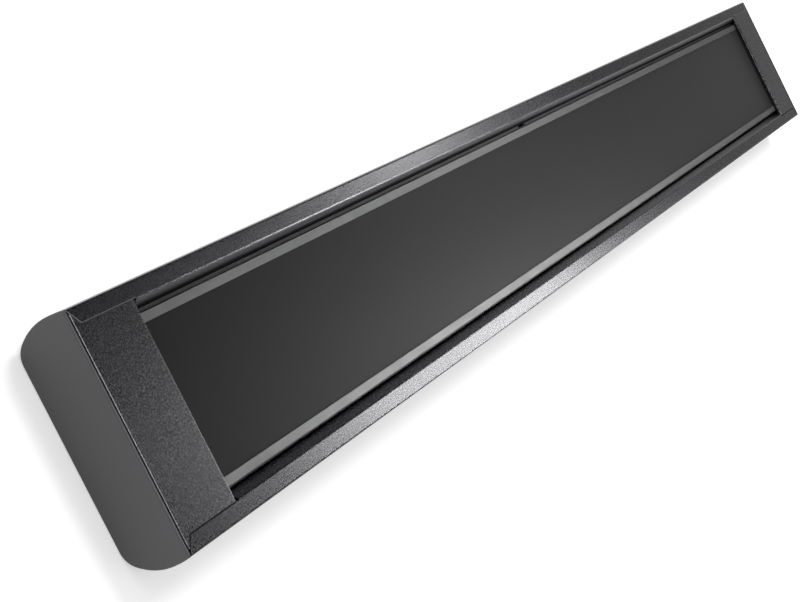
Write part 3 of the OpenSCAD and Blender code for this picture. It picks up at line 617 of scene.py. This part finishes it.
class HEATER_OT_wiring(bpy.types.Operator):
    """Terminal block, thermal cut-out, earth stud and internal leads"""

    bl_idname = "heater.wiring"
    bl_label = "Wiring Space"

    def execute(self, context):
        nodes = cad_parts
        brass = drawn_metal("terminal_brass", (0.62, 0.46, 0.20), roughness=0.3, stretch=EVEN)
        for name in ("terminal_screws", "earth_stud"):
            wear(nodes[name], brass)
        wear(nodes["terminal_block"], fired_ceramic("block_steatite", (0.84, 0.82, 0.76), roughness=0.45))
        wear(nodes["thermal_cutout"], moulded("cutout_phenolic", (0.022, 0.018, 0.016), roughness=0.4))
        wear(nodes["internal_leads"], glass_braid("lead_braid", (0.62, 0.58, 0.48)))
        return {"FINISHED"}


class HEATER_OT_gland(bpy.types.Operator):
    """Cable gland with a chamfered hexagon and a domed clamping nut"""

    bl_idname = "heater.gland"
    bl_label = "Cable Gland"

    def execute(self, context):
        finish = context.scene.heater_finish
        plastic = moulded("gland_plastic", (0.018, 0.018, 0.019), roughness=0.45)
        dress(finish, "gland_body", plastic, radius=0.3 * MM)
        dress(finish, "gland_nut", plastic, radius=0.3 * MM)
        wear(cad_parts["gland_locknut"], plastic)
        wear(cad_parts["gland_seal"], moulded("gland_rubber", (0.02, 0.02, 0.02), roughness=0.7))
        return {"FINISHED"}


class HEATER_OT_fixings(bpy.types.Operator):
    """Mounting channel, sliding fixing nuts and the end plates' screws"""

    bl_idname = "heater.fixings"
    bl_label = "Rear Fixings"

    def execute(self, context):
        finish = context.scene.heater_finish
        zinc = drawn_metal("fixing_zinc", (0.52, 0.53, 0.55), roughness=0.42, stretch=(0.05, 1, 1))
        wear(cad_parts["mounting_channel"], zinc)
        for side in ("left", "right"):
            dress(finish, "fixing_nut_" + side, zinc, radius=0.4 * MM, body=side + "_nut")
        black = drawn_metal("screw_black", (0.03, 0.03, 0.032), roughness=0.4, metallic=0.7, stretch=EVEN)
        dress(finish, "end_plate_screws", black, radius=0.12 * MM, shortest=0.3 * MM)
        return {"FINISHED"}


def ray_masks(paint):
    """Sockets that are 1 for camera, glossy and transmission rays, in that order, and 0 for others"""
    light_path = paint.tree.nodes.new("ShaderNodeLightPath")
    kinds = ("Camera", "Glossy", "Transmission")
    return [Wire(paint, light_path.outputs["Is " + kind + " Ray"]) for kind in kinds]


def lamp(name, place, aim, width, power):
    """A round lamp that the camera doesn't see"""
    light = bpy.data.lights.new(name, "AREA")
    light.shape = "DISK"
    light.size = width
    light.energy = power
    piece = bpy.data.objects.new(name, light)
    bpy.context.scene.collection.objects.link(piece)
    turn = (aim - place).to_track_quat("-Z", "Y").to_matrix().to_4x4()
    piece.matrix_world = Matrix.Translation(place) @ turn
    piece.visible_camera = False
    return piece


class HEATER_OT_stage(bpy.types.Operator):
    """Camera, pale floor, plain world and soft lamps"""

    bl_idname = "heater.stage"
    bl_label = "Stage"

    def execute(self, context):
        stage = context.scene.heater_stage
        self.place_camera(context.scene)
        self.lay_floor(stage)
        self.light(context.scene, stage)
        context.scene.view_settings.view_transform = "Standard"
        return {"FINISHED"}

    def place_camera(self, scene):
        camera = bpy.data.objects.new("heater_camera", bpy.data.cameras.new("heater_camera"))
        scene.collection.objects.link(camera)
        camera.data.sensor_fit = "HORIZONTAL"
        camera.data.sensor_width = SENSOR_WIDTH
        camera.data.lens = CAMERA_LENS
        back = (CAMERA_PLACE - CAMERA_AIM).normalized()
        right = CAMERA_UP.cross(back).normalized()
        up = back.cross(right)
        turn = Matrix((right, up, back)).transposed().to_4x4()
        camera.matrix_world = Matrix.Translation(CAMERA_PLACE) @ turn
        scene.camera = camera

    def lay_floor(self, stage):
        bm = bmesh.new()
        bmesh.ops.create_grid(bm, x_segments=1, y_segments=1, size=stage.floor_size / 2)
        bmesh.ops.translate(bm, vec=(0, 0, -FLOOR_GAP), verts=bm.verts)
        mesh = bpy.data.meshes.new("floor")
        bm.to_mesh(mesh)
        bm.free()
        floor = bpy.data.objects.new("floor", mesh)
        bpy.context.scene.collection.objects.link(floor)
        paint = new_paint("floor_paint")
        camera, glossy, through = ray_masks(paint)
        wear(floor, paint.finish(
            Base_Color=stage.floor,
            Roughness=0.9,
            Specular_IOR_Level=0.0,
            Emission_Color=(1, 1, 1),
            Emission_Strength=camera.maximum(glossy).maximum(through) * stage.floor_lift,
        ))

    def light(self, scene, stage):
        """World and lamps: gloss sees a backdrop that ends low down and is dim on the upper side"""
        sky = Paint(bpy.data.worlds.new("studio"), "BACKGROUND")
        camera, glossy, through = ray_masks(sky)
        height = sky.node("ShaderNodeSeparateXYZ", inputs={"Vector": sky.places}, output="Z")
        side = sky.node("ShaderNodeSeparateXYZ", inputs={"Vector": sky.places}, output="Y")
        low = sky.ramp(height, (0.18, stage.backdrop), (0.36, stage.ceiling))
        backdrop = low * sky.ramp(side, (0.36, 1.0), (0.7, 0.2))
        direct = camera.maximum(through)
        seen = direct.maximum(glossy)
        scene.world = sky.finish(
            Color=(1, 1, 1),
            Strength=direct.maximum(glossy * backdrop) + (1 - seen) * stage.ambient,
        )
        for name, (place, aim, width, power) in GLOSS_LAMPS.items():
            lamp(name, place, aim, width, getattr(stage, power)).visible_diffuse = False
        fill = lamp("fill_lamp", FILL_PLACE, HIGHLIGHT, FILL_WIDTH, stage.fill_power)
        fill.visible_glossy = False


OPERATORS = (
    HEATER_OT_casing,
    HEATER_OT_end_plates,
    HEATER_OT_end_covers,
    HEATER_OT_panel,
    HEATER_OT_tray,
    HEATER_OT_elements,
    HEATER_OT_wiring,
    HEATER_OT_gland,
    HEATER_OT_fixings,
    HEATER_OT_stage,
)


class HEATER_PT_sidebar(bpy.types.Panel):
    """Lists the heater's pieces and finishes"""

    bl_idname = "HEATER_PT_sidebar"
    bl_label = "Patio Heater"
    bl_space_type = "VIEW_3D"
    bl_region_type = "UI"
    bl_category = "Heater"

    def draw(self, context):
        column = self.layout.column(align=True)
        for operator in OPERATORS:
            column.operator(operator.bl_idname)
        for group in (context.scene.heater_finish, context.scene.heater_stage):
            column.separator()
            for name in group.bl_rna.properties.keys():
                if name not in ("rna_type", "name"):
                    column.prop(group, name)


CLASSES = (HeaterFinish, HeaterStage, *OPERATORS, HEATER_PT_sidebar)


def register():
    for item in CLASSES:
        bpy.utils.register_class(item)
    bpy.types.Scene.heater_finish = PointerProperty(type=HeaterFinish)
    bpy.types.Scene.heater_stage = PointerProperty(type=HeaterStage)


def unregister():
    del bpy.types.Scene.heater_stage
    del bpy.types.Scene.heater_finish
    for item in reversed(CLASSES):
        bpy.utils.unregister_class(item)


def main():
    register()
    for operator in OPERATORS:
        group, name = operator.bl_idname.split(".")
        getattr(getattr(bpy.ops, group), name)()


if __name__ == "__main__":
    main()
